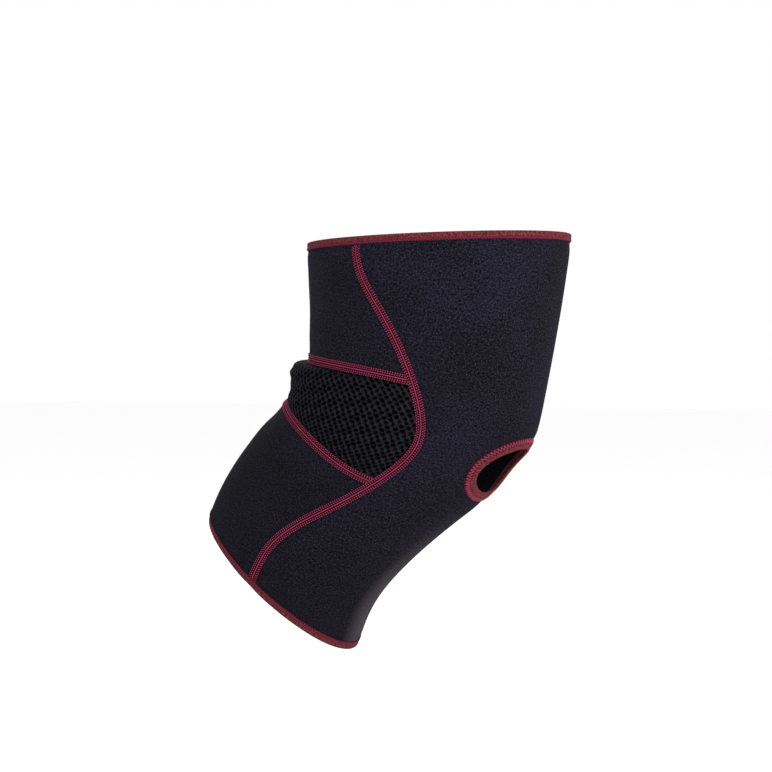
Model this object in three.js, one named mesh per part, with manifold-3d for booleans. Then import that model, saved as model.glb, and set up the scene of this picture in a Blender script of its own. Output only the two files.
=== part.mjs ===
// Open-patella knee support: an elastic sleeve as it sits round a bent knee.
// Millimetres. +X points forward, +Z up and Y across. The origin is the
// centre of the knee, inside the sleeve, and the XZ plane is its mirror plane.
import * as THREE from 'three';
import { mergeVertices } from 'three/addons/utils/BufferGeometryUtils.js';
import Module from 'manifold-3d';

// ---- Driving dimensions ----

// Stations down the leg: front edge x and z, back edge x and z, half width.
const STATIONS = [
  [102, 100, -54, 95.5, 66],
  [95, 54, -52, 60, 64],
  [86, 8, -54, 25, 61],
  [70, -30, -68, 6, 58],
  [28, -68, -89, -14, 53.5],
  [-14.5, -107, -110, -41, 48],
  [-30.5, -140, -121, -62, 44],
];
// Angle of the long side seam from the front, at twelve even steps down the leg.
const SIDE_SEAM_DEGREES = [107, 104, 94, 83, 74, 67, 63, 65, 71, 80, 86, 88, 90];

const NEOPRENE = 4.0;
const MESH = 3.0;
const PANEL_GAP = 1.0;
const CLEARANCE = 0.3;
// The inner faces are cut by flat facets, so what lies inside keeps further off.
const INNER_CLEARANCE = 0.6;

const SEAM_WIDTH = 5.5;
const SEAM_HEIGHT = 0.9;
const SEAM_STEM = 0.4;
// How far across a panel the clear part between the side seam's bands runs.
const BAND_REACH = 0.955;
const LOOPER_HEIGHT = 0.6;

// The mesh panel's edges, as fractions of the way down the leg.
const MESH_TOP = 0.3;
const MESH_TOP_DROP = 0.018;
const MESH_BOTTOM = 0.488;
const MESH_BOTTOM_DROP = 0.117;
const MESH_PUFF = 8.0;
const MESH_LIP = 0.1;

const BINDING_WIDTH = 5.4;
const BINDING_TAPE = 0.7;
const RING_WIDTH = 7.2;
const PATELLA_STATION = 0.515;
const PATELLA_HALF_WIDTH = 24.6;
const PATELLA_HALF_HEIGHT = 17.6;

const STITCH_THREAD = 0.8;
const STITCH_HEIGHT = 0.4;
const ZIGZAG_WIDTH = 1.8;
const ZIGZAG_PITCH = 6.0;
// From a tape's outer corner to the far side of its zigzag.
const ZIGZAG_INSET = 2.0;

const THIGH_ROWS = 9;
const MESH_ROWS = 8;
const CALF_ROWS = 11;
const FRONT_COLUMNS = 20;
const REAR_COLUMNS = 20;
const RIM_STEPS = 56;
const RING_STEPS = 36;

const COLOURS = {
  neoprene: [0x1c1c22, 0.86],
  mesh: [0x0d0d10, 0.9],
  binding: [0x7d2f31, 0.8],
  thread: [0x8e1f45, 0.75],
};

// ---- The form of the sleeve ----

// A natural cubic spline through evenly spaced values, over 0 to 1.
function spline(values) {
  const last = values.length - 1;
  const bend = new Array(last + 1).fill(0);
  const sweep = new Array(last + 1).fill(0);
  for (let i = 1; i < last; i += 1) {
    const kick = 6 * (values[i - 1] - 2 * values[i] + values[i + 1]);
    const pivot = 4 + sweep[i - 1];
    sweep[i] = -1 / pivot;
    bend[i] = (kick - bend[i - 1]) / pivot;
  }
  for (let i = last - 1; i > 0; i -= 1) bend[i] += sweep[i] * bend[i + 1];
  return (t) => {
    const i = Math.min(Math.max(Math.floor(t * last), 0), last - 1);
    const b = t * last - i;
    const a = 1 - b;
    const curve = (a ** 3 - a) * bend[i] + (b ** 3 - b) * bend[i + 1];
    return a * values[i] + b * values[i + 1] + curve / 6;
  };
}

const [frontX, frontZ, backX, backZ, halfWidth] = [0, 1, 2, 3, 4].map(
  (column) => spline(STATIONS.map((station) => station[column])),
);
const seamDegrees = spline(SIDE_SEAM_DEGREES);

// A point of the outer face: t runs down the leg, angle round it from the front.
function skin(t, angle) {
  const forward = (1 + Math.cos(angle)) / 2;
  return new THREE.Vector3(
    THREE.MathUtils.lerp(backX(t), frontX(t), forward),
    halfWidth(t) * Math.sin(angle),
    THREE.MathUtils.lerp(backZ(t), frontZ(t), forward),
  );
}

// Adds a height above the face to a two-parameter surface.
function raised(surface) {
  const step = 1e-4;
  return (p, q, height) => {
    const alongP = surface(p + step, q).sub(surface(p - step, q));
    const alongQ = surface(p, q + step).sub(surface(p, q - step));
    const normal = alongP.cross(alongQ).normalize();
    return surface(p, q).addScaledVector(normal, height);
  };
}

// The angle from the back of the leg to the long side seam.
function rearSpan(t) {
  return Math.PI - THREE.MathUtils.degToRad(seamDegrees(t));
}

// The rear of the sleeve: v runs from one side seam, -1, to the other, 1.
function rearSkin(t, v) {
  return skin(t, Math.PI + v * rearSpan(t));
}

const meshTop = (v) => MESH_TOP + MESH_TOP_DROP * v ** 4;
const meshBottom = (v) => MESH_BOTTOM + (MESH_BOTTOM_DROP * (1 - Math.cos(Math.PI * v))) / 2;

// The face round the kneecap: r runs outward from the hole's edge in mm.
function kneecapSkin(r, turn) {
  const side = (PATELLA_HALF_WIDTH + r) * Math.cos(turn);
  const down = -(PATELLA_HALF_HEIGHT + r) * Math.sin(turn);
  const above = skin(PATELLA_STATION - 0.01, 0);
  const below = skin(PATELLA_STATION + 0.01, 0);
  const t = PATELLA_STATION + (down * 0.02) / above.distanceTo(below);
  return skin(t, Math.asin(side / halfWidth(t)));
}

const face = raised(skin);
const rearFace = raised(rearSkin);
const kneecapFace = raised(kneecapSkin);

// ---- Closed bodies ----

function body(points, triangles) {
  const geometry = new THREE.BufferGeometry();
  const flat = points.flatMap((point) => [point.x, point.y, point.z]);
  geometry.setAttribute('position', new THREE.Float32BufferAttribute(flat, 3));
  let volume = 0;
  for (const [a, b, c] of triangles) {
    volume += points[a].dot(points[b].clone().cross(points[c]));
  }
  const ordered = volume > 0 ? triangles : triangles.map(([a, b, c]) => [a, c, b]);
  geometry.setIndex(ordered.flat());
  return geometry;
}

// A sheet with thickness, from place(i, j, height) over rows and columns.
function sheet(rows, columns, thickness, place) {
  const points = [];
  const triangles = [];
  const count = (rows + 1) * (columns + 1);
  for (const height of [0, -thickness]) {
    for (let i = 0; i <= rows; i += 1) {
      for (let j = 0; j <= columns; j += 1) points.push(place(i, j, height));
    }
  }
  const at = (i, j) => i * (columns + 1) + j;
  const quad = (a, b, c, d) => triangles.push([a, b, c], [a, c, d]);
  for (let i = 0; i < rows; i += 1) {
    for (let j = 0; j < columns; j += 1) {
      const [a, b, c, d] = [at(i, j), at(i, j + 1), at(i + 1, j + 1), at(i + 1, j)];
      quad(a, b, c, d);
      quad(d + count, c + count, b + count, a + count);
    }
  }
  const border = [];
  for (let j = 0; j < columns; j += 1) border.push(at(0, j));
  for (let i = 0; i < rows; i += 1) border.push(at(i, columns));
  for (let j = columns; j > 0; j -= 1) border.push(at(rows, j));
  for (let i = rows; i > 0; i -= 1) border.push(at(i, 0));
  border.forEach((a, k) => {
    const b = border[(k + 1) % border.length];
    quad(b, a, a + count, b + count);
  });
  return body(points, triangles);
}

// A profile of [sideways, height] points carried along a path on a face.
// trail(s) gives the path's two parameters; mover is the one that steps
// sideways. drift(k) moves the whole profile sideways at step k.
function strip({ surface, trail, mover, profile, steps, closed, drift = () => 0 }) {
  const bare = (s, shift) => {
    const place = trail(s);
    place[mover] += shift;
    return surface(...place, 0);
  };
  const points = [];
  const count = closed ? steps : steps + 1;
  for (let k = 0; k < count; k += 1) {
    const s = k / steps;
    const along = bare(s + 1e-4, 0).sub(bare(s - 1e-4, 0));
    const across = bare(s, 1e-4).sub(bare(s, -1e-4));
    const perMillimetre = (2e-4 * along.length()) / across.cross(along).length();
    for (const [sideways, height] of profile) {
      const place = trail(s);
      place[mover] += (sideways + drift(k)) * perMillimetre;
      points.push(surface(...place, height));
    }
  }
  return body(points, stripFaces(profile, count, closed));
}

// The side faces between a strip's rings, and a lid at each end of an open one.
function stripFaces(profile, count, closed) {
  const size = profile.length;
  const triangles = [];
  for (let k = 0; k < (closed ? count : count - 1); k += 1) {
    const next = (k + 1) % count;
    for (let m = 0; m < size; m += 1) {
      const n = (m + 1) % size;
      const [a, b, c, d] = [k * size + m, k * size + n, next * size + n, next * size + m];
      triangles.push([a, b, c], [a, c, d]);
    }
  }
  return closed ? triangles : [...triangles, ...lids(profile, (count - 1) * size)];
}

function lids(profile, end) {
  const outline = profile.map(([x, y]) => new THREE.Vector2(x, y));
  const clockwise = THREE.ShapeUtils.isClockWise(outline);
  return THREE.ShapeUtils.triangulateShape(outline, []).flatMap(([a, b, c]) => {
    const [p, q, r] = clockwise ? [c, b, a] : [a, b, c];
    return [[r, q, p], [end + p, end + q, end + r]];
  });
}

// ---- Profiles, as [sideways, height] outlines ----

const box = (left, right, low, high) => [[left, low], [right, low], [right, high], [left, high]];

// Needle thread: a cover band outside with its stem between the panels.
const SEAM_PROFILE = [
  [-SEAM_STEM / 2, CLEARANCE - NEOPRENE],
  [SEAM_STEM / 2, CLEARANCE - NEOPRENE],
  [SEAM_STEM / 2, CLEARANCE],
  [SEAM_WIDTH / 2, CLEARANCE],
  [SEAM_WIDTH / 2, CLEARANCE + SEAM_HEIGHT],
  [-SEAM_WIDTH / 2, CLEARANCE + SEAM_HEIGHT],
  [-SEAM_WIDTH / 2, CLEARANCE],
  [-SEAM_STEM / 2, CLEARANCE],
];
const LOOPER_PROFILE = box(
  -SEAM_WIDTH / 2,
  SEAM_WIDTH / 2,
  -NEOPRENE - INNER_CLEARANCE - LOOPER_HEIGHT,
  -NEOPRENE - INNER_CLEARANCE,
);

// Tape folded over an edge: the edge is at 0 and the panel lies at inward > 0.
function foldedTape(width) {
  const outside = CLEARANCE + BINDING_TAPE;
  const inside = -NEOPRENE - INNER_CLEARANCE;
  return [
    [-outside, outside],
    [-outside, inside - BINDING_TAPE],
    [width - outside, inside - BINDING_TAPE],
    [width - outside, inside],
    [-CLEARANCE, inside],
    [-CLEARANCE, CLEARANCE],
    [width - outside, CLEARANCE],
    [width - outside, outside],
  ];
}

const mirrored = (profile) => profile.map(([x, y]) => [-x, y]);

// ---- Rows shared by the panels and seams, so that their edges match ----

function lerpList(from, to, count) {
  return Array.from({ length: count + 1 }, (_, i) => from + ((to - from) * i) / count);
}

// Row places from 0 to 1, with a narrow lip under the seam at either end.
const THIGH_PLACES = [...lerpList(0, 0.955, THIGH_ROWS - 1), 1];
const MESH_PLACES = [0, ...lerpList(MESH_LIP, 1 - MESH_LIP, MESH_ROWS - 2), 1];
const CALF_PLACES = [0, ...lerpList(0.035, 1, CALF_ROWS - 1)];

const GAP_ROWS = PANEL_GAP / 2 / 270;
const spread = (places, from, to) => places.map((s) => THREE.MathUtils.lerp(from, to, s));
const SIDE_ROWS = [
  ...spread(THIGH_PLACES, 0, meshTop(1) - GAP_ROWS),
  ...spread(MESH_PLACES, meshTop(1) + GAP_ROWS, meshBottom(1) - GAP_ROWS),
  ...spread(CALF_PLACES, meshBottom(1) + GAP_ROWS, 1),
];

// Turns a width in mm across the side seam into an angle round the leg.
function seamAngle(t, width) {
  const seam = (u) => THREE.MathUtils.degToRad(seamDegrees(u));
  const along = skin(t + 1e-4, seam(t + 1e-4)).sub(skin(t - 1e-4, seam(t - 1e-4)));
  const round = skin(t, seam(t) + 1e-4).sub(skin(t, seam(t) - 1e-4));
  return (width * 2e-4 * along.length()) / round.cross(along).length();
}

// Column places from -1 to 1 whose outermost cells lie under the seam bands.
function columnPlaces(count) {
  const inner = lerpList(-BAND_REACH, BAND_REACH, count - 2);
  return [-1, ...inner, 1];
}

// ---- Panels ----

function frontPanel() {
  const columns = columnPlaces(FRONT_COLUMNS);
  const place = (i, j, height) => {
    const t = SIDE_ROWS[i];
    const edge = Math.PI - rearSpan(t) - seamAngle(t, PANEL_GAP / 2);
    return face(t, columns[j] * edge, height);
  };
  return sheet(SIDE_ROWS.length - 1, FRONT_COLUMNS, NEOPRENE, place);
}

// A plug through the wall at the kneecap, wider than the wall is thick.
function kneecapCutter() {
  const points = [];
  for (const height of [4, -NEOPRENE - 4]) {
    for (let j = 0; j < RING_STEPS; j += 1) {
      points.push(kneecapFace(0, (2 * Math.PI * j) / RING_STEPS, height));
    }
    points.push(face(PATELLA_STATION, 0, height));
  }
  const below = RING_STEPS + 1;
  const triangles = [];
  for (let j = 0; j < RING_STEPS; j += 1) {
    const next = (j + 1) % RING_STEPS;
    triangles.push([j, next + below, next], [j, j + below, next + below]);
    triangles.push([RING_STEPS, j, next], [RING_STEPS + below, next + below, j + below]);
  }
  return body(points, triangles);
}

// A rear panel between two edges, each given as a fraction down the leg by v.
function rearPanel(rows, thickness, topEdge, bottomEdge, puff) {
  const columns = columnPlaces(REAR_COLUMNS);
  const place = (i, j, height) => {
    const s = rows[i];
    const wide = columns[j];
    const t = THREE.MathUtils.lerp(topEdge(wide), bottomEdge(wide), s);
    const v = wide * (1 - seamAngle(t, PANEL_GAP / 2) / rearSpan(t));
    return rearFace(t, v, height + puff(s, wide));
  };
  return sheet(rows.length - 1, REAR_COLUMNS, thickness, place);
}

// The mesh bellies out behind the knee, most of all just under its top edge.
function meshPuff(s, v) {
  const inward = THREE.MathUtils.clamp((s - MESH_LIP) / (1 - 2 * MESH_LIP), 0, 1);
  return MESH_PUFF * Math.sin(Math.PI * Math.sqrt(inward)) * Math.cos((Math.PI / 2) * v);
}

const flat = () => 0;

function rearThighPanel() {
  return rearPanel(THIGH_PLACES, NEOPRENE, () => 0, (v) => meshTop(v) - GAP_ROWS, flat);
}

function meshPanel() {
  const above = (v) => meshTop(v) + GAP_ROWS;
  const below = (v) => meshBottom(v) - GAP_ROWS;
  return rearPanel(MESH_PLACES, MESH, above, below, meshPuff);
}

function rearCalfPanel() {
  return rearPanel(CALF_PLACES, NEOPRENE, (v) => meshBottom(v) + GAP_ROWS, () => 1, flat);
}

// ---- Seams ----

// The side seam stops short of the tape at both rims.
const SEAM_START = 0.028;
const SEAM_END = 0.961;

function sideSeam(side, profile) {
  const trail = (s) => {
    const t = THREE.MathUtils.lerp(SEAM_START, SEAM_END, s);
    return [t, side * THREE.MathUtils.degToRad(seamDegrees(t))];
  };
  return strip({ surface: face, trail, mover: 1, profile, steps: 40, closed: false });
}

// A mesh seam stops short of the side seams' bands and keeps to the columns.
function meshSeam(edge, profile) {
  const trail = (s) => {
    const v = THREE.MathUtils.lerp(-BAND_REACH, BAND_REACH, s);
    return [edge(v), v];
  };
  const steps = REAR_COLUMNS - 2;
  return strip({ surface: rearFace, trail, mover: 0, profile, steps, closed: false });
}

// ---- Bindings and their stitching ----

const rimTrail = (t) => (s) => [t, 2 * Math.PI * s];
const ringTrail = (s) => [0, 2 * Math.PI * s];

function rimStrip(t, profile, steps = RIM_STEPS, drift = undefined) {
  const shape = t === 0 ? profile : mirrored(profile);
  const trail = rimTrail(t);
  return strip({ surface: face, trail, mover: 0, profile: shape, steps, closed: true, drift });
}

function ringStrip(profile, steps = RING_STEPS, drift = undefined) {
  const trail = ringTrail;
  return strip({ surface: kneecapFace, trail, mover: 0, profile, steps, closed: true, drift });
}

function girth(surface, trail) {
  const points = lerpList(0, 1, 90).map((s) => surface(...trail(s), 0));
  return points.slice(1).reduce((sum, point, i) => sum + point.distanceTo(points[i]), 0);
}

function threadProfile(inward, low) {
  return box(inward - STITCH_THREAD / 2, inward + STITCH_THREAD / 2, low, low + STITCH_HEIGHT);
}

const zigzag = (k) => (k % 2 ? ZIGZAG_WIDTH / 2 : -ZIGZAG_WIDTH / 2);
const stitchLine = (width) => width - ZIGZAG_INSET - ZIGZAG_WIDTH / 2;
const overTape = CLEARANCE + BINDING_TAPE + CLEARANCE;
const underTape = -NEOPRENE - INNER_CLEARANCE - BINDING_TAPE - CLEARANCE - STITCH_HEIGHT;

function evenSteps(surface, trail) {
  return 2 * Math.round(girth(surface, trail) / ZIGZAG_PITCH);
}

function rimNeedleThread(t) {
  const profile = threadProfile(stitchLine(BINDING_WIDTH), overTape);
  return rimStrip(t, profile, evenSteps(face, rimTrail(t)), zigzag);
}

function rimBobbinThread(t) {
  return rimStrip(t, threadProfile(stitchLine(BINDING_WIDTH), underTape));
}

function ringNeedleThread() {
  const profile = threadProfile(stitchLine(RING_WIDTH), overTape);
  return ringStrip(profile, evenSteps(kneecapFace, ringTrail), zigzag);
}

function ringBobbinThread() {
  return ringStrip(threadProfile(stitchLine(RING_WIDTH), underTape));
}

// ---- Boolean cut ----

const wasm = await Module();
wasm.setup();

function solid(geometry) {
  const merged = mergeVertices(geometry, 1e-4);
  return new wasm.Manifold(new wasm.Mesh({
    numProp: 3,
    vertProperties: new Float32Array(merged.attributes.position.array),
    triVerts: new Uint32Array(merged.index.array),
  }));
}

function cut(geometry, cutter) {
  const { vertProperties, triVerts } = solid(geometry).subtract(solid(cutter)).getMesh();
  const result = new THREE.BufferGeometry();
  result.setAttribute('position', new THREE.BufferAttribute(vertProperties, 3));
  result.setIndex(new THREE.BufferAttribute(triVerts, 1));
  return result;
}

// ---- The assembly ----

const support = new THREE.Group();

function add(name, geometry, colour) {
  const [color, roughness] = COLOURS[colour];
  geometry.computeVertexNormals();
  const material = new THREE.MeshStandardMaterial({ color, roughness, metalness: 0 });
  const mesh = new THREE.Mesh(geometry, material);
  mesh.name = name;
  support.add(mesh);
}

add('front_panel', cut(frontPanel(), kneecapCutter()), 'neoprene');
add('rear_thigh_panel', rearThighPanel(), 'neoprene');
add('popliteal_mesh_panel', meshPanel(), 'mesh');
add('rear_calf_panel', rearCalfPanel(), 'neoprene');

for (const [side, sign] of [['lateral', -1], ['medial', 1]]) {
  add(`${side}_seam_needle_thread`, sideSeam(sign, SEAM_PROFILE), 'thread');
  add(`${side}_seam_looper_thread`, sideSeam(sign, LOOPER_PROFILE), 'thread');
}
for (const [level, edge] of [['upper', meshTop], ['lower', meshBottom]]) {
  add(`${level}_mesh_seam_needle_thread`, meshSeam(edge, SEAM_PROFILE), 'thread');
  add(`${level}_mesh_seam_looper_thread`, meshSeam(edge, LOOPER_PROFILE), 'thread');
}
for (const [rim, t] of [['thigh', 0], ['calf', 1]]) {
  add(`${rim}_binding`, rimStrip(t, foldedTape(BINDING_WIDTH)), 'binding');
  add(`${rim}_binding_needle_thread`, rimNeedleThread(t), 'thread');
  add(`${rim}_binding_bobbin_thread`, rimBobbinThread(t), 'thread');
}
add('patella_binding', ringStrip(foldedTape(RING_WIDTH)), 'binding');
add('patella_binding_needle_thread', ringNeedleThread(), 'thread');
add('patella_binding_bobbin_thread', ringBobbinThread(), 'thread');

export default support;
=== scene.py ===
"""Open-patella knee support: the fabric, seams and tapes built over the CAD frame.

Lengths here are millimetres until a mesh is made, which is in metres. The leg form is
the one the CAD part is built on: t runs from 0 at the thigh rim to 1 at the calf rim,
and the angle runs round the leg from the shin.
"""

import math

import bpy
import numpy as np
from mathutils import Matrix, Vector


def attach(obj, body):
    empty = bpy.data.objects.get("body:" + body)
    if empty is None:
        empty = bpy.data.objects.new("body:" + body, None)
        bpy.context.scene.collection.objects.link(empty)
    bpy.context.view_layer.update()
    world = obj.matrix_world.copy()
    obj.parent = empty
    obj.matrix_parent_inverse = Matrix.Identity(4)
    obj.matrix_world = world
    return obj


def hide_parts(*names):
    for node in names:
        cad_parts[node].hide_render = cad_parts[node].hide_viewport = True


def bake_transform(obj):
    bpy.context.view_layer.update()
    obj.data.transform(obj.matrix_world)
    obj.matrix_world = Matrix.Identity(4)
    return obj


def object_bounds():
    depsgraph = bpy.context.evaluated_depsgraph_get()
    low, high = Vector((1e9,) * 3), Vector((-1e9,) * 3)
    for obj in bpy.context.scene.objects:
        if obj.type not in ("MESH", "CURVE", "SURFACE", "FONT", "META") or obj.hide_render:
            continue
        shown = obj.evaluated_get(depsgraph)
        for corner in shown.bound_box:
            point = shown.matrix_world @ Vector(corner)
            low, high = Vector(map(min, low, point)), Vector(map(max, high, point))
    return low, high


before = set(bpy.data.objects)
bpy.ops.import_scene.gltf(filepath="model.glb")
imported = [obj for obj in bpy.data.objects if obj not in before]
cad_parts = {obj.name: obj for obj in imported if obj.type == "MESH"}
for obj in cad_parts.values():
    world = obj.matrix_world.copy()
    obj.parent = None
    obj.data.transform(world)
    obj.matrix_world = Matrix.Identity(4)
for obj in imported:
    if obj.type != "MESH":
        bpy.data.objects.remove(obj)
cad_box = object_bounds()

# ---- Driving dimensions (mm) ----

# Stations down the leg: front edge x and z, back edge x and z, half width.
STATIONS = [
    (102, 100, -54, 95.5, 66),
    (95, 54, -52, 60, 64),
    (86, 8, -54, 25, 61),
    (70, -30, -68, 6, 58),
    (28, -68, -89, -14, 53.5),
    (-14.5, -107, -110, -41, 48),
    (-30.5, -140, -121, -62, 44),
]
# Angle of the long side seam from the front, at twelve even steps down the leg.
SIDE_SEAM_DEGREES = [107, 104, 94, 83, 74, 67, 63, 65, 71, 80, 86, 88, 90]
MEAN_RADIUS = 62.0
LEG_LENGTH = 240.0
FRONT_LENGTH, FRONT_WIDTH = 286.0, 240.0
REAR_WIDTH = 200.0
LENGTH_AT_MESH = 270.0  # what a whole unit of t measures down the back of the knee

NEOPRENE = 4.0
BOUND_EDGE, EDGE_DIP = 0.9, 0.8  # the neoprene squeezed under a tape, and how far its face sinks
SEAM_DIP = 0.5
KNEECAP_SWELL = 2.2
FOLD_HEIGHT, SHIN_WAVE, CREASE_DEPTH, DRIFT = 0.55, 0.6, 0.7, 0.35
MESH = 3.0
PANEL_GAP = 0.5
MESH_TOP, MESH_TOP_DROP = 0.3, 0.018
MESH_BOTTOM, MESH_BOTTOM_DROP = 0.488, 0.117
MESH_PUFF, MESH_LIP = 9.0, 0.06
ROW_PITCH, HOLE_PITCH, HOLE_DEPTH = 2.3, 3.85, 0.8
ROW_BOW = 0.0007  # how far the rows of holes drop, over the square of the way from the back

SEAM_WIDTH = 5.5
STITCH_LENGTH = 1.45
STITCH_LINES = (-2.3, -1.3, 1.3, 2.3)
STITCH_HALF_WIDTH, RIDGE_HALF_WIDTH, RIDGE_HEIGHT = 0.5, 0.55, 0.8
SEAM_BED, SEAM_EMBED = 0.15, 0.1  # a band's lowest relief, and how far a band sinks in
OUTER_ROOT, INNER_ROOT = 0.9, 0.15  # how deep the outer and inner bands reach into the panels
BINDING_WIDTH = 4.7
RING_WIDTH = 7.4
PATELLA_STATION = 0.515
PATELLA_HALF_WIDTH, PATELLA_HALF_HEIGHT = 24.6, 17.6
TAPE = 0.5
ZIGZAG_PITCH, THREAD_RADIUS = 1.7, 0.24
ZIGZAG_RISE, ZIGZAG_SINK = 0.3, 0.12
ZIGZAG_SHORT = 1.15  # how far short of its tape's width a zigzag's outer points lie
TAPE_GAP = 0.1
RIM_ZIGZAG, RING_ZIGZAG = 0.27, 0.42  # the share of a tape's width its zigzag covers

SEWN = "_sewn"  # what a piece's name adds to the CAD node it stands for
FABRIC_STEP = 2.4
MESH_STEP = 0.6
SEAM_STEP = 0.3
NUDGE = 1e-4  # the step in a face's parameters that slopes are measured over


# ---- The form of the sleeve ----

def spline(values):
    """A natural cubic spline through evenly spaced values, over 0 to 1."""
    v = np.array(values, float)
    last = len(v) - 1
    system = np.eye(last + 1)
    kick = np.zeros(last + 1)
    for i in range(1, last):
        system[i, i - 1 : i + 2] = 1, 4, 1
        kick[i] = 6 * (v[i - 1] - 2 * v[i] + v[i + 1])
    bend = np.linalg.solve(system, kick)

    def at(t):
        t = np.asarray(t, float) * last
        i = np.clip(np.floor(t).astype(int), 0, last - 1)
        b = t - i
        a = 1 - b
        curve = (a**3 - a) * bend[i] + (b**3 - b) * bend[i + 1]
        return a * v[i] + b * v[i + 1] + curve / 6

    return at


front_x, front_z, back_x, back_z, half_width = (spline(column) for column in zip(*STATIONS))
side_seam = spline(np.radians(SIDE_SEAM_DEGREES))


def skin(t, angle):
    """The sleeve's outer face, as an array of points."""
    forward = (1 + np.cos(angle)) / 2
    x = back_x(t) + (front_x(t) - back_x(t)) * forward
    z = back_z(t) + (front_z(t) - back_z(t)) * forward
    return np.stack([x, half_width(t) * np.sin(angle), z], -1)


def bell(distance, width):
    return np.exp(-((distance / width) ** 2))


def length_at_kneecap():
    """What a whole unit of t measures down the front at the kneecap."""
    step = 0.01
    above, below = skin(PATELLA_STATION - step, 0.0), skin(PATELLA_STATION + step, 0.0)
    return np.linalg.norm(below - above) / (2 * step)


def from_hole(t, angle):
    """Distance from the kneecap hole's centre, as a share of the hole's own size."""
    far = 9.0
    side = half_width(t) * np.sin(angle) / PATELLA_HALF_WIDTH
    down = (t - PATELLA_STATION) * length_at_kneecap() / PATELLA_HALF_HEIGHT
    return np.where(np.cos(angle) > 0, np.hypot(side, down), far)


def under_tape(t, angle):
    """1 where a folded tape squeezes the neoprene, falling to 0 a little way in."""
    to_rim = np.minimum(t, 1 - t) * LEG_LENGTH
    to_hole = (from_hole(t, angle) - 1) * PATELLA_HALF_HEIGHT
    rim_held, rim_fade = 3.5, 3.5
    hole_held, hole_fade = 6.0, 4.0
    rim = bell(np.maximum(to_rim - rim_held, 0), rim_fade)
    hole = bell(np.maximum(to_hole - hole_held, 0), hole_fade)
    return np.maximum(rim, hole)


def slack(t, angle):
    """How far the fabric stands off the plain form: folds behind the knee, a wave and a
    crease down the shin, a slow drift all over, and dips at the side seams and tapes."""
    turned = np.abs((angle + np.pi) % (2 * np.pi) - np.pi)
    behind = np.clip((turned - 1.2) / 1.6, 0, 1)
    folds = FOLD_HEIGHT * np.sin(46 * t + 3.0 * np.cos(angle)) * behind * bell(t - 0.42, 0.2)
    shin = SHIN_WAVE * np.cos(5 * angle) * bell(t - 0.86, 0.12) * bell(turned, 0.8)
    crease = CREASE_DEPTH * bell(angle + 0.12, 0.05) * bell(t - 0.88, 0.16)
    drift = DRIFT * np.sin(9 * t + 2 * angle) * np.sin(3 * angle - 5 * t)
    beside = (turned - side_seam(t)) * MEAN_RADIUS
    dips = SEAM_DIP * bell(beside, 5.0) + EDGE_DIP * under_tape(t, angle)
    return folds + shin - crease + drift + KNEECAP_SWELL * bell(from_hole(t, angle), 1.9) - dips


def raised(surface, shape):
    """A face with heights: the surface plus its slack, out along the normal."""

    def at(p, q, height):
        along = surface(p + NUDGE, q) - surface(p - NUDGE, q)
        across = surface(p, q + NUDGE) - surface(p, q - NUDGE)
        normal = np.cross(along, across)
        normal /= np.linalg.norm(normal, axis=-1, keepdims=True)
        lift = np.asarray(height + shape(p, q), float)
        return surface(p, q) + normal * lift[..., None]

    return at


def neoprene_depth(t, angle):
    return NEOPRENE - (NEOPRENE - BOUND_EDGE) * under_tape(t, angle)


def rear_span(t):
    return np.pi - side_seam(t)


def rear_place(t, v):
    return t, np.pi + v * rear_span(t)


def kneecap_place(r, turn):
    """Round the kneecap hole: r runs out from its edge."""
    side = (PATELLA_HALF_WIDTH + r) * np.cos(turn)
    down = -(PATELLA_HALF_HEIGHT + r) * np.sin(turn)
    t = PATELLA_STATION + down / length_at_kneecap()
    return t, np.arcsin(side / half_width(t))


def placed(place):
    """The same face in another pair of parameters."""
    return raised(lambda p, q: skin(*place(p, q)), lambda p, q: slack(*place(p, q)))


face = raised(skin, slack)
rear_face = placed(rear_place)
kneecap_face = placed(kneecap_place)


def mesh_top(v):
    return MESH_TOP + MESH_TOP_DROP * v**4


def mesh_bottom(v):
    return MESH_BOTTOM + MESH_BOTTOM_DROP * (1 - np.cos(np.pi * v)) / 2


# ---- Meshes ----

def make_object(name, points, faces, uv, attributes=None):
    """A smooth mesh object from points in mm, with a UV in mm for each point."""
    mesh = bpy.data.meshes.new(name)
    mesh.from_pydata((points * 0.001).tolist(), [], [list(map(int, f)) for f in faces])
    layer = mesh.uv_layers.new(name="fabric")
    corners = np.zeros(len(mesh.loops), np.int32)
    mesh.loops.foreach_get("vertex_index", corners)
    layer.data.foreach_set("uv", np.asarray(uv, float)[corners].ravel())
    for key, values in (attributes or {}).items():
        attribute = mesh.attributes.new(key, "FLOAT", "POINT")
        attribute.data.foreach_set("value", np.asarray(values, np.float32).ravel())
    mesh.shade_smooth()
    mesh.update()
    made = bpy.data.objects.new(name + SEWN, mesh)
    bpy.context.scene.collection.objects.link(made)
    return made


def grid_quads(rows, columns):
    """Outward quads of a grid of points, as an array."""
    i, j = np.meshgrid(np.arange(rows - 1), np.arange(columns - 1), indexing="ij")
    corner = i * columns + j
    quads = np.stack([corner, corner + columns, corner + columns + 1, corner + 1], -1)
    return quads.reshape(-1, 4)


def tube_quads(rings, sides):
    """Outward quads of a closed tube: rings of points, each joined to the next."""
    i, j = np.meshgrid(np.arange(rings), np.arange(sides), indexing="ij")
    after, beside = (i + 1) % rings, (j + 1) % sides
    corners = [i * sides + j, after * sides + j, after * sides + beside, i * sides + beside]
    return np.stack(corners, -1).reshape(-1, 4)


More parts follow.
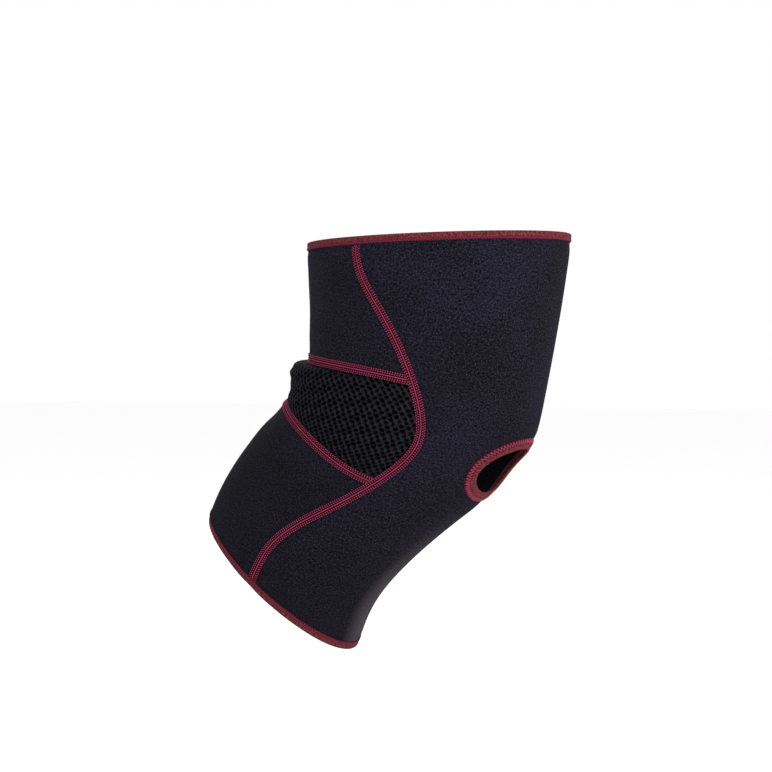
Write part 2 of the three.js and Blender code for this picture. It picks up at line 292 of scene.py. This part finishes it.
def slab(name, outer, inner, uv, keep=None, extra=None):
    """A sheet with thickness between two grids of points; keep masks its cells, and
    extra holds more values for each point of the grid."""
    rows, columns = outer.shape[:2]
    top = grid_quads(rows, columns)
    if keep is not None:
        top = top[keep.ravel()]
    count = rows * columns
    edges = {}
    for quad in top.tolist():
        for a, b in zip(quad, quad[1:] + quad[:1]):
            if edges.pop((b, a), None) is None:
                edges[(a, b)] = True
    walls = [(b, a, a + count, b + count) for a, b in edges]
    faces = top.tolist() + (top[:, ::-1] + count).tolist() + walls
    points = np.concatenate([outer.reshape(-1, 3), inner.reshape(-1, 3)])
    flat = np.concatenate([uv.reshape(-1, 2)] * 2)
    outside = np.arange(len(points)) < count
    used = np.zeros(len(points), bool)
    used[top] = True
    used[top + count] = True
    renumber = np.cumsum(used) - 1
    faces = [[renumber[k] for k in f] for f in faces]
    attributes = {"outside": outside[used]}
    for key, values in (extra or {}).items():
        attributes[key] = np.concatenate([values.ravel()] * 2)[used]
    return make_object(name, points[used], faces, flat[used], attributes)


def panel_uv(t, angle):
    return np.stack([angle * MEAN_RADIUS, t * LEG_LENGTH], -1)


def seam_angle(t, width):
    """The angle round the leg that a width in mm across the side seam takes."""
    along = skin(t + NUDGE, side_seam(t + NUDGE)) - skin(t - NUDGE, side_seam(t - NUDGE))
    around = skin(t, side_seam(t) + NUDGE) - skin(t, side_seam(t) - NUDGE)
    area = np.linalg.norm(np.cross(around, along), axis=-1)
    return width * 2 * NUDGE * np.linalg.norm(along, axis=-1) / area


def front_panel():
    """The front, its grid snapped to the kneecap hole's edge where it crosses it."""
    rows, columns = round(FRONT_LENGTH / FABRIC_STEP), round(FRONT_WIDTH / FABRIC_STEP)
    t, w = np.meshgrid(np.linspace(0, 1, rows), np.linspace(-1, 1, columns), indexing="ij")
    angle = w * (side_seam(t) - seam_angle(t, PANEL_GAP / 2))
    reach = from_hole(t, angle)
    middle = (reach[1:, 1:] + reach[:-1, 1:] + reach[1:, :-1] + reach[:-1, :-1]) / 4
    keep = middle > 1.0
    rim = np.zeros(reach.shape, bool)
    for a, b in ((0, 0), (0, 1), (1, 0), (1, 1)):
        rim[a : rows - 1 + a, b : columns - 1 + b] |= ~keep
    onto = 1 / np.maximum(reach, 1e-6)
    side = half_width(t) * np.sin(angle)
    t = np.where(rim, PATELLA_STATION + (t - PATELLA_STATION) * onto, t)
    angle = np.where(rim, np.arcsin(np.clip(side * onto / half_width(t), -1, 1)), angle)
    inner = face(t, angle, -neoprene_depth(t, angle))
    return slab("front_panel", face(t, angle, 0.0), inner, panel_uv(t, angle), keep)


def rear_panel(name, top_edge, bottom_edge, step, thickness, puff=None):
    """A panel behind the side seams; one with a puff is mesh and has holes."""
    beside_knee, spare_rows = 1.6, 4
    ends = skin(bottom_edge(1.0), beside_knee) - skin(top_edge(1.0), beside_knee)
    rows = round(np.linalg.norm(ends) / step) + spare_rows
    columns = round(REAR_WIDTH / step)
    s, w = np.meshgrid(np.linspace(0, 1, rows), np.linspace(-1, 1, columns), indexing="ij")
    t = top_edge(w) * (1 - s) + bottom_edge(w) * s
    v = w * (1 - seam_angle(t, PANEL_GAP / 2) / rear_span(t))
    lift = puff(s, w) if puff else 0.0 * s
    _, angle = rear_place(t, v)
    depth = np.minimum(thickness, neoprene_depth(t, angle))
    outer, inner = rear_face(t, v, lift), rear_face(t, v, lift - depth)
    uv = panel_uv(t, angle)
    uv[1:, :, 1] = uv[0, :, 1] + np.cumsum(np.linalg.norm(np.diff(outer, axis=0), axis=2), 0)
    if puff is None:
        return slab(name, outer, inner, uv)
    hole = mesh_holes(uv)
    sunk = rear_face(t, v, lift - HOLE_DEPTH * np.clip((hole - 0.25) / 0.3, 0, 1))
    return slab(name, sunk, inner, uv, extra={"hole": hole})


def mesh_puff(s, v):
    """How far the mesh bellies out: steeply under its upper seam, then easing off."""
    inward = np.clip((s - MESH_LIP) / (1 - 2 * MESH_LIP), 0, 1)
    creases = 1 + 0.04 * np.sin(7 * np.pi * inward + 3 * v)
    bulge = np.clip(np.sin(np.pi * inward**0.45), 0, 1) ** 0.7
    return MESH_PUFF * bulge * np.cos(np.pi / 2 * v) * creases


def mesh_holes(uv):
    """0 on the yarn to 1 in the holes, where two slanting waves cross; their rows bow."""
    x = uv[..., 0] - np.pi * MEAN_RADIUS
    y = uv[..., 1] - ROW_BOW * x**2
    uneven = 0.07 * np.sin(0.83 * x + 1.3 * y) + 0.07 * np.sin(1.9 * x - 0.71 * y + 2)
    around, down = x / HOLE_PITCH + uneven, y / (2 * ROW_PITCH)
    leaning, facing = (0.5 + 0.5 * np.sin(2 * np.pi * lean) for lean in (around + down, around - down))
    return leaning * facing


# ---- Strips that follow a line on a face ----

def even_stations(surface, trail, step, closed):
    """Places along a trail, evenly spaced in mm, how far along they are, and its length."""
    samples, fewest = 2001, 8
    s = np.linspace(0, 1, samples)
    line = surface(*trail(s), np.zeros_like(s))
    run = np.concatenate([[0], np.cumsum(np.linalg.norm(np.diff(line, axis=0), axis=1))])
    count = max(fewest, round(run[-1] / step))
    marks = np.linspace(0, run[-1], count + 1)
    if closed:
        marks = marks[:-1]
    return np.interp(marks, run, s), marks, run[-1]


def shifter(surface, trail, mover):
    """Gives points at a sideways shift in mm and a height over a place on the trail.

    The shift is made in the face's first parameter where mover is 0, or in its second."""
    in_p, in_q = (1, 0) if mover == 0 else (0, 1)

    def at(s, sideways, height):
        zero = np.zeros_like(s)
        p, q = trail(s)
        along = surface(*trail(s + NUDGE), zero) - surface(*trail(s - NUDGE), zero)
        dp, dq = NUDGE * in_p, NUDGE * in_q
        across = surface(p + dp, q + dq, zero) - surface(p - dp, q - dq, zero)
        area = np.linalg.norm(np.cross(across, along), axis=-1)
        shift = sideways * 2 * NUDGE * np.linalg.norm(along, axis=-1) / area
        return surface(p + in_p * shift, q + in_q * shift, height)

    return at


def ridge(distance):
    """The height of a round thread of radius 1 at a distance from its middle line."""
    return np.sqrt(np.clip(1 - distance**2, 0, None))


def flatlock(u, x):
    """Relief of a flatlock seam: a middle ridge between four lines of short stitches."""
    relief = np.maximum(SEAM_BED, RIDGE_HEIGHT * ridge(x / RIDGE_HALF_WIDTH))
    for line, centre in enumerate(STITCH_LINES):
        along = np.cos(np.pi * (u / STITCH_LENGTH + 0.5 * line)) ** 2
        stitch = ridge((x - centre) / STITCH_HALF_WIDTH)
        relief = np.maximum(relief, (0.3 + 0.7 * along) * stitch)
    return relief


def seam_band(name, surface, trail, mover, inside=False):
    """A band of stitching with its relief outward, or inward where inside is set.

    The inner band is coarser and flatter, and follows the neoprene's inner face. The
    outer one sinks into the face at its ends."""
    step = SEAM_STEP * (1.6 if inside else 1.0)
    s, marks, length = even_stations(surface, trail, step, False)
    x = np.linspace(-SEAM_WIDTH / 2, SEAM_WIDTH / 2, round(SEAM_WIDTH / step) + 1)
    ss, xx = np.meshgrid(s, x, indexing="ij")
    uu = np.meshgrid(marks, x, indexing="ij")[0]
    relief = flatlock(uu, xx)
    sink, reach = 0.6, 1.2
    tucked = sink * (bell(uu, reach) + bell(length - uu, reach))
    at = shifter(surface, trail, mover)
    deep = neoprene_depth(trail(ss)[0], np.pi / 2)
    up = -deep - SEAM_EMBED - 0.7 * relief if inside else relief - SEAM_EMBED - tucked
    under = INNER_ROOT - deep if inside else 0 * ss - OUTER_ROOT
    ends = (xx == x[0]) | (xx == x[-1])
    top = at(ss, xx, np.where(ends, (up + under) / 2, up))
    bottom = at(ss, xx, under)
    outer, inner = (bottom, top) if inside else (top, bottom)
    if mover == 0:
        outer, inner = outer[:, ::-1], inner[:, ::-1]
        uu, relief, xx = uu[:, ::-1], relief[:, ::-1], xx[:, ::-1]
    return slab(name, outer, inner, np.stack([xx, uu], -1), extra={"relief": relief})


def tube_band(name, surface, trail, profile, mirror):
    """A closed profile of (sideways, height) carried round a closed trail."""
    step = 1.2
    s, marks, _ = even_stations(surface, trail, step, True)
    at = shifter(surface, trail, 0)
    outline = np.array(profile)
    sides = len(outline)
    sign = -1 if mirror else 1
    ss = np.repeat(s[:, None], sides, 1)
    # Only the sewn edge of the tape wanders, and its fold stays true.
    sewn_edge_from = 3
    wobble = 0.12 * np.sin(2 * np.pi * 9 * ss) + 0.08 * np.sin(2 * np.pi * 23 * ss + 1)
    sideways = outline[None, :, 0] + wobble * (outline[None, :, 0] > sewn_edge_from)
    points = at(ss, sign * sideways, np.repeat(outline[None, :, 1], len(s), 0))
    quads = tube_quads(len(s), sides)
    if mirror:
        quads = quads[:, ::-1]
    girth = np.concatenate([[0], np.cumsum(np.linalg.norm(np.diff(outline, axis=0), axis=1))])
    uv = np.stack([np.repeat(girth[None], len(s), 0), np.repeat(marks[:, None], sides, 1)], -1)
    return make_object(name, points.reshape(-1, 3), quads, uv.reshape(-1, 2))


def folded_tape(width):
    """The outline of a tape folded over a bound edge: its fold, its two legs and their gap."""
    past_edge = 0.8
    low = -BOUND_EDGE - TAPE_GAP
    bottom = low - TAPE
    middle = (low - 0.1) / 2
    end = width - past_edge
    outside = [(end, 0.1), (end - 0.05, TAPE * 0.8), (end - 0.5, TAPE), (end * 0.5, TAPE + 0.08)]
    fold = [(0.1, TAPE), (-0.35, TAPE * 0.7), (-0.65, 0.0), (-past_edge, middle), (-0.65, low)]
    fold += [(-0.35, bottom + 0.2), (0.1, bottom)]
    inside = [(end * 0.5, bottom - 0.05), (end - 0.4, bottom), (end, low - 0.35), (end, low - 0.05)]
    gap = [(end * 0.5, low), (0.1, low), (-0.1, middle), (0.1, -0.05), (end * 0.5, 0.0)]
    return outside + fold + inside + gap


def thread_tube(name, line, lift, radius, sides=6):
    """A closed round thread through points, with the face's normals as lift."""
    forward = np.roll(line, -1, 0) - np.roll(line, 1, 0)
    forward /= np.linalg.norm(forward, axis=1, keepdims=True)
    across = np.cross(forward, lift)
    across /= np.linalg.norm(across, axis=1, keepdims=True)
    up = np.cross(across, forward)
    turn = np.linspace(0, 2 * np.pi, sides, endpoint=False)
    ring = across[:, None] * np.cos(turn)[None, :, None] + up[:, None] * np.sin(turn)[None, :, None]
    points = line[:, None] + radius * ring
    quads = tube_quads(len(line), sides)[:, ::-1]
    run = np.cumsum(np.linalg.norm(np.diff(line, axis=0, append=line[:1]), axis=1))
    uv = np.stack([np.repeat(turn[None], len(line), 0), np.repeat(run[:, None], sides, 1)], -1)
    height_in_look = 0.9
    relief = np.full(points.shape[:2], height_in_look)
    return make_object(name, points.reshape(-1, 3), quads, uv.reshape(-1, 2), {"relief": relief})


def zigzag_thread(name, surface, trail, middle, swing, height, mirror):
    """A zigzag stitch, each leg arched off the tape and dipping into it at its ends."""
    per_leg = 6
    _, _, length = even_stations(surface, trail, 1.0, True)
    legs = 2 * round(length / ZIGZAG_PITCH)
    s, _, _ = even_stations(surface, trail, length / (legs * per_leg), True)
    k = np.arange(len(s))
    saw = 1 - 2 * np.abs((k / per_leg) % 2 - 1)
    arch = np.sin(np.pi * ((k % per_leg) / per_leg)) ** 0.7
    sideways = (middle + saw * swing) * (-1 if mirror else 1)
    heights = height + np.sign(height) * (ZIGZAG_RISE * arch - ZIGZAG_SINK)
    at = shifter(surface, trail, 0)
    line = at(s, sideways, heights)
    lift = at(s, sideways, heights + 1.0) - line
    return thread_tube(name, line, lift, THREAD_RADIUS)


# ---- Materials ----

class Look:
    """A fabric material being wired: one Principled shader fed by UVs in mm."""

    def __init__(self, name, roughness, sheen, sheen_tint):
        self.material = bpy.data.materials.new(name)
        self.material.use_nodes = True
        self.tree = self.material.node_tree
        self.shader = self.tree.nodes["Principled BSDF"]
        self.shader.inputs["Roughness"].default_value = roughness
        self.shader.inputs["Sheen Weight"].default_value = sheen
        self.shader.inputs["Sheen Roughness"].default_value = 0.45
        self.shader.inputs["Sheen Tint"].default_value = (*sheen_tint, 1)
        self.shader.inputs["Specular IOR Level"].default_value = 0.02
        uv = self.tree.nodes.new("ShaderNodeUVMap")
        uv.uv_map = "fabric"
        self.uv = uv.outputs[0]
        split = self.tree.nodes.new("ShaderNodeSeparateXYZ")
        self.tree.links.new(self.uv, split.inputs[0])
        self.x, self.y = split.outputs[0], split.outputs[1]

    def feed(self, socket, value):
        if isinstance(value, bpy.types.NodeSocket):
            self.tree.links.new(value, socket)
        else:
            socket.default_value = value

    def math(self, operation, a, b=0.0):
        made = self.tree.nodes.new("ShaderNodeMath")
        made.operation = operation
        self.feed(made.inputs[0], a)
        self.feed(made.inputs[1], b)
        return made.outputs[0]

    def noise(self, scale, detail=2.0):
        made = self.tree.nodes.new("ShaderNodeTexNoise")
        made.inputs["Scale"].default_value = scale
        made.inputs["Detail"].default_value = detail
        self.tree.links.new(self.uv, made.inputs["Vector"])
        return made.outputs[0]

    def wave(self, value, period):
        """0 to 1 and back over each period of value."""
        turned = self.math("MULTIPLY", value, 2 * math.pi / period)
        half = self.math("MULTIPLY", self.math("SINE", turned), 0.5)
        return self.math("ADD", half, 0.5)

    def ramp(self, value, *stops):
        made = self.tree.nodes.new("ShaderNodeValToRGB")
        elements = made.color_ramp.elements
        while len(elements) < len(stops):
            elements.new(0.5)
        for element, (place, colour) in zip(elements, stops):
            element.position = place
            element.color = (*colour, 1)
        self.feed(made.inputs[0], value)
        return made.outputs[0]

    def mix(self, factor, a, b, blend="MIX"):
        made = self.tree.nodes.new("ShaderNodeMix")
        made.data_type = "RGBA"
        made.blend_type = blend
        self.feed(made.inputs["Factor"], factor)
        self.feed(made.inputs[6], (*a, 1) if isinstance(a, tuple) else a)
        self.feed(made.inputs[7], (*b, 1) if isinstance(b, tuple) else b)
        return made.outputs[2]

    def attribute(self, name):
        made = self.tree.nodes.new("ShaderNodeAttribute")
        made.attribute_name = name
        return made.outputs["Fac"]

    def finish(self, colour, height, depth_mm, strength):
        self.feed(self.shader.inputs["Base Color"], colour)
        bump = self.tree.nodes.new("ShaderNodeBump")
        bump.inputs["Distance"].default_value = depth_mm * 0.001
        bump.inputs["Strength"].default_value = strength
        self.feed(bump.inputs["Height"], height)
        self.tree.links.new(bump.outputs[0], self.shader.inputs["Normal"])
        return self.material


def knit(look, pitch):
    """Height of a jersey knit: columns of small V loops."""
    zig = look.math("ABSOLUTE", look.math("SUBTRACT", look.wave(look.x, pitch * 2), 0.5))
    lean = look.math("ADD", look.y, look.math("MULTIPLY", zig, pitch * 1.6))
    rows = look.wave(lean, pitch)
    columns = look.wave(look.x, pitch)
    return look.math("MULTIPLY", rows, look.math("ADD", look.math("MULTIPLY", columns, 0.6), 0.4))


def shin_painted_highlight(look):
    """Painted highlight on the front of the shin, on the outer face only: a soft, paler stripe down to
    the calf rim.
    """
    stripe_middle, stripe_reach = 5.0, 24.0
    aside = look.math("ABSOLUTE", look.math("SUBTRACT", look.x, stripe_middle))
    outward = look.math("DIVIDE", aside, stripe_reach)
    across = look.ramp(outward, (0.25, (0.85, 0.85, 0.85)), (1.0, (0, 0, 0)))
    station = look.math("DIVIDE", look.y, LEG_LENGTH)
    down = look.ramp(station, (0.62, (0, 0, 0)), (0.80, (1, 1, 1)))
    return look.math("MULTIPLY", look.math("MULTIPLY", across, down), look.attribute("outside"))


def neoprene_look():
    """Dark jersey in bluish patches that fade down the leg, with pale flecks and a painted highlight
    down the shin.
    """
    look = Look("neoprene", 0.85, 0.008, (0.7, 0.72, 0.9))
    grain = look.noise(0.85, 3.0)
    speck = look.noise(1.35)
    broad = look.noise(0.022)
    base = look.ramp(grain, (0.38, (0.0016, 0.0015, 0.0021)), (0.62, (0.0076, 0.0070, 0.0094)))
    blue = look.ramp(grain, (0.38, (0.0026, 0.0024, 0.0052)), (0.62, (0.0125, 0.0115, 0.0220)))
    patches = look.ramp(broad, (0.40, (0.1, 0.1, 0.1)), (0.60, (0.8, 0.8, 0.8)))
    station = look.math("DIVIDE", look.y, LEG_LENGTH)
    fading = look.ramp(station, (0.55, (1, 1, 1)), (0.80, (0.35, 0.35, 0.35)))
    tinted = look.mix(look.math("MULTIPLY", patches, fading), base, blue)
    flecks = look.ramp(speck, (0.54, (0, 0, 0)), (0.70, (0.6, 0.6, 0.6)))
    flecked = look.mix(flecks, tinted, (0.042, 0.040, 0.062))
    # pale is the colour of the painted highlight on the shin, mixed in where its stripe lies.
    pale = look.mix(grain, (0.022, 0.018, 0.022), (0.082, 0.066, 0.080))
    colour = look.mix(shin_painted_highlight(look), flecked, pale)
    height = look.math("ADD", knit(look, 0.8), look.math("MULTIPLY", grain, 1.5))
    return look.finish(colour, height, 0.2, 0.8)


def mesh_look():
    """Yarn with painted highlights where its strands cross, and painted shade making the holes black
    where the mesh is sunk.
    """
    look = Look("spacer_mesh", 0.8, 0.004, (0.8, 0.8, 0.85))
    hole = look.attribute("hole")
    grain = look.noise(1.3)
    yarn = look.ramp(grain, (0.40, (0.0010, 0.0010, 0.0015)), (0.62, (0.0086, 0.0082, 0.0112)))
    # Painted highlight: the yarn is lightened where its strands cross.
    crossing_highlight = look.ramp(hole, (0.0, (0.40, 0.40, 0.40)), (0.10, (0, 0, 0)))
    lit = look.mix(crossing_highlight, yarn, (0.025, 0.024, 0.032))
    # Painted shade: the holes are coloured black, for the shade inside them.
    open_hole = look.ramp(hole, (0.28, (0, 0, 0)), (0.48, (1, 1, 1)))
    colour = look.mix(open_hole, lit, (0.0, 0.0, 0.0))
    height = look.math("SUBTRACT", look.math("MULTIPLY", grain, 0.3), open_hole)
    return look.finish(colour, height, 0.9, 1.0)


def binding_look(name, width, zigzag, shade):
    """Ribbed tape, darkened between the stitches along its inner edge by painted shade and needle
    holes; the shade factor lightens it.
    """
    look = Look(name, 0.85, 0.02, (1.0, 0.8, 0.78))
    ribs = look.wave(look.y, 0.75)
    lengthwise = look.wave(look.x, 0.55)
    broad = look.noise(0.15, 3.0)
    worn = look.noise(0.8)
    base = look.mix(broad, (0.030, 0.005, 0.007), (0.075, 0.012, 0.014))
    speckled = look.ramp(worn, (0.40, (0, 0, 0)), (0.62, (0.9, 0.9, 0.9)))
    plain = look.mix(speckled, base, (0.130, 0.026, 0.028))
    inward = look.math("DIVIDE", look.x, width)
    # Painted shade between the zigzag's threads darkens the stitched zone of the tape, together with
    # the needle holes.
    needle_hole_and_shade_colour = (0.030, 0.002, 0.008)
    needle_holes_and_shade = look.ramp(inward, (zigzag + 0.10, (0.8, 0.8, 0.8)), (zigzag + 0.17, (0, 0, 0)))
    colour = look.mix(needle_holes_and_shade, plain, needle_hole_and_shade_colour)
    shaded = look.mix(1.0, colour, (shade, shade, shade), "MULTIPLY")
    height = look.math("ADD", ribs, look.math("ADD", look.math("MULTIPLY", lengthwise, 0.5), worn))
    return look.finish(shaded, height, 0.16, 0.8)


def thread_look(name, dark, middle, light):
    """Twisted thread, with painted shade making it dark where its relief is low."""
    look = Look(name, 0.65, 0.02, (1.0, 0.7, 0.8))
    relief = look.attribute("relief")
    twist = look.wave(look.math("ADD", look.y, look.math("MULTIPLY", look.x, 0.8)), 0.5)
    fibre = look.noise(1.8)
    # Painted shade: low relief, between and beside the stitches, takes the dark colour.
    thread = look.ramp(relief, (0.25, dark), (0.55, middle), (0.92, light))
    frayed = look.ramp(fibre, (0.35, (0.65, 0.65, 0.65)), (0.65, (1.15, 1.15, 1.15)))
    colour = look.mix(1.0, thread, frayed, "MULTIPLY")
    return look.finish(colour, look.math("ADD", twist, fibre), 0.07, 0.6)


# ---- The pieces ----

neoprene, spacer = neoprene_look(), mesh_look()
rim_tape = binding_look("rim_tape", BINDING_WIDTH, RIM_ZIGZAG, 1.1)
kneecap_tape = binding_look("kneecap_tape", RING_WIDTH, RING_ZIGZAG, 1.15)
# Each thread's first colour is the painted shade of its low relief.
seam_yarn = thread_look(
    "seam_thread", (0.011, 0.0004, 0.0022), (0.066, 0.002, 0.013), (0.31, 0.056, 0.112)
)
rim_yarn = thread_look(
    "rim_thread", (0.020, 0.001, 0.005), (0.07, 0.004, 0.016), (0.17, 0.022, 0.050)
)
ring_yarn = thread_look(
    "kneecap_thread", (0.025, 0.002, 0.006), (0.10, 0.008, 0.020), (0.25, 0.042, 0.070)
)


def finish_piece(piece, material, body=None):
    piece.data.materials.append(material)
    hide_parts(piece.name.removesuffix(SEWN))
    if body:
        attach(piece, body)
    else:
        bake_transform(piece)


def moved_down(edge, shift):
    """An edge line moved down the leg by a shift in t."""
    return lambda v: edge(v) + shift


def build_panels():
    gap = PANEL_GAP / 2 / LENGTH_AT_MESH
    thigh_rim, calf_rim = (lambda v: 0 * v), (lambda v: 1 + 0 * v)
    above_mesh, below_mesh = moved_down(mesh_top, -gap), moved_down(mesh_bottom, gap)
    mesh_edges = moved_down(mesh_top, gap), moved_down(mesh_bottom, -gap)
    front = front_panel()
    thigh = rear_panel("rear_thigh_panel", thigh_rim, above_mesh, FABRIC_STEP, NEOPRENE)
    calf = rear_panel("rear_calf_panel", below_mesh, calf_rim, FABRIC_STEP, NEOPRENE)
    mesh = rear_panel("popliteal_mesh_panel", *mesh_edges, MESH_STEP, MESH, mesh_puff)
    for panel in (front, thigh, calf):
        finish_piece(panel, neoprene)
    finish_piece(mesh, spacer)


def side_trail(sign):
    """Down a side seam, from one rim's tape to the other's."""
    start, end = 0.017, 0.978

    def trail(s):
        t = start + (end - start) * s
        return t, sign * side_seam(t)

    return trail


def mesh_trail(edge):
    """Along one edge of the mesh, stopping short of the side seams' bands."""
    reach = 0.984

    def trail(s):
        v = reach * (2 * s - 1)
        return edge(v), v

    return trail


def build_seams():
    for side, sign in (("lateral", -1), ("medial", 1)):
        for kind, inside in (("needle", False), ("looper", True)):
            band = seam_band(f"{side}_seam_{kind}_thread", face, side_trail(sign), 1, inside)
            finish_piece(band, seam_yarn)
    for level, edge in (("upper", mesh_top), ("lower", mesh_bottom)):
        for kind, inside in (("needle", False), ("looper", True)):
            name = f"{level}_mesh_seam_{kind}_thread"
            band = seam_band(name, rear_face, mesh_trail(edge), 0, inside)
            finish_piece(band, seam_yarn)


def build_binding(name, line, size, looks, mirror, body):
    """A folded tape along a line on a face, with its zigzag outside and straight thread inside."""
    (surface, trail), (width, zigzag), (tape, yarn) = line, size, looks
    swing = zigzag * width / 2
    middle = width - ZIGZAG_SHORT - swing
    band = tube_band(f"{name}_binding", surface, trail, folded_tape(width), mirror)
    finish_piece(band, tape, body)
    under = -BOUND_EDGE - TAPE - TAPE_GAP
    for kind, spread, height in (("needle", swing, TAPE), ("bobbin", 0.0, under)):
        thread_name = f"{name}_binding_{kind}_thread"
        thread = zigzag_thread(thread_name, surface, trail, middle, spread, height, mirror)
        finish_piece(thread, yarn, body)


def rim_trail(t):
    """All the way round at one value of a face's first parameter."""
    return lambda s: (t + 0 * s, 2 * np.pi * s)


build_panels()
build_seams()
rim_size, rim_looks = (BINDING_WIDTH, RIM_ZIGZAG), (rim_tape, rim_yarn)
ring_size, ring_looks = (RING_WIDTH, RING_ZIGZAG), (kneecap_tape, ring_yarn)
build_binding("thigh", (face, rim_trail(0.0)), rim_size, rim_looks, False, "thigh")
build_binding("calf", (face, rim_trail(1.0)), rim_size, rim_looks, True, "calf")
build_binding("patella", (kneecap_face, rim_trail(0.0)), ring_size, ring_looks, False, None)


# ---- Studio ----

def area_light(name, place, size, power):
    """A square light that faces the origin."""
    data = bpy.data.lights.new(name, "AREA")
    data.shape = "SQUARE"
    data.size = size
    data.energy = power
    made = bpy.data.objects.new(name, data)
    made.location = place
    made.rotation_euler = (-Vector(place)).to_track_quat("-Z", "Y").to_euler()
    bpy.context.scene.collection.objects.link(made)


def build_floor():
    half, drop = 6.0, 0.03
    level = cad_box[0][2] - drop
    corners = [(-half, -half, level), (half, -half, level), (half, half, level), (-half, half, level)]
    mesh = bpy.data.meshes.new("floor")
    mesh.from_pydata(corners, [], [(0, 1, 2, 3)])
    floor = bpy.data.objects.new("floor", mesh)
    bpy.context.scene.collection.objects.link(floor)
    paint = bpy.data.materials.new("floor")
    paint.use_nodes = True
    shader = paint.node_tree.nodes["Principled BSDF"]
    shader.inputs["Base Color"].default_value = (0.97, 0.97, 0.97, 1)
    shader.inputs["Roughness"].default_value = 0.9
    mesh.materials.append(paint)


def build_studio():
    """Even white surroundings and three soft lights, in metres and watts."""
    build_floor()
    world = bpy.data.worlds.new("studio")
    world.use_nodes = True
    background = world.node_tree.nodes["Background"]
    background.inputs["Color"].default_value = (1, 1, 1, 1)
    background.inputs["Strength"].default_value = 1.0
    bpy.context.scene.world = world
    bpy.context.scene.view_settings.view_transform = "Standard"
    area_light("key", (0.9, -0.9, 0.7), 0.9, 13)
    area_light("fill", (1.2, -0.4, 0.0), 0.9, 9)
    area_light("back", (-0.8, 0.9, 0.7), 0.8, 5)


def build_camera():
    """A camera beside the knee and a little in front of it, about level with it."""
    azimuth, elevation, distance = math.radians(25), math.radians(1), 1.3
    view_width, aim_right, aim_up = 0.4478, -0.0081, 0.0139
    right = Vector((math.cos(azimuth), math.sin(azimuth), 0))
    level_back = Vector((math.sin(azimuth), -math.cos(azimuth), 0))
    back = level_back * math.cos(elevation) + Vector((0, 0, math.sin(elevation)))
    aim = right * aim_right + back.cross(right) * aim_up
    data = bpy.data.cameras.new("camera")
    data.lens = data.sensor_width * distance / view_width
    made = bpy.data.objects.new("camera", data)
    made.location = aim + back * distance
    made.rotation_euler = (-back).to_track_quat("-Z", "Y").to_euler()
    bpy.context.scene.collection.objects.link(made)
    bpy.context.scene.camera = made


build_studio()
build_camera()
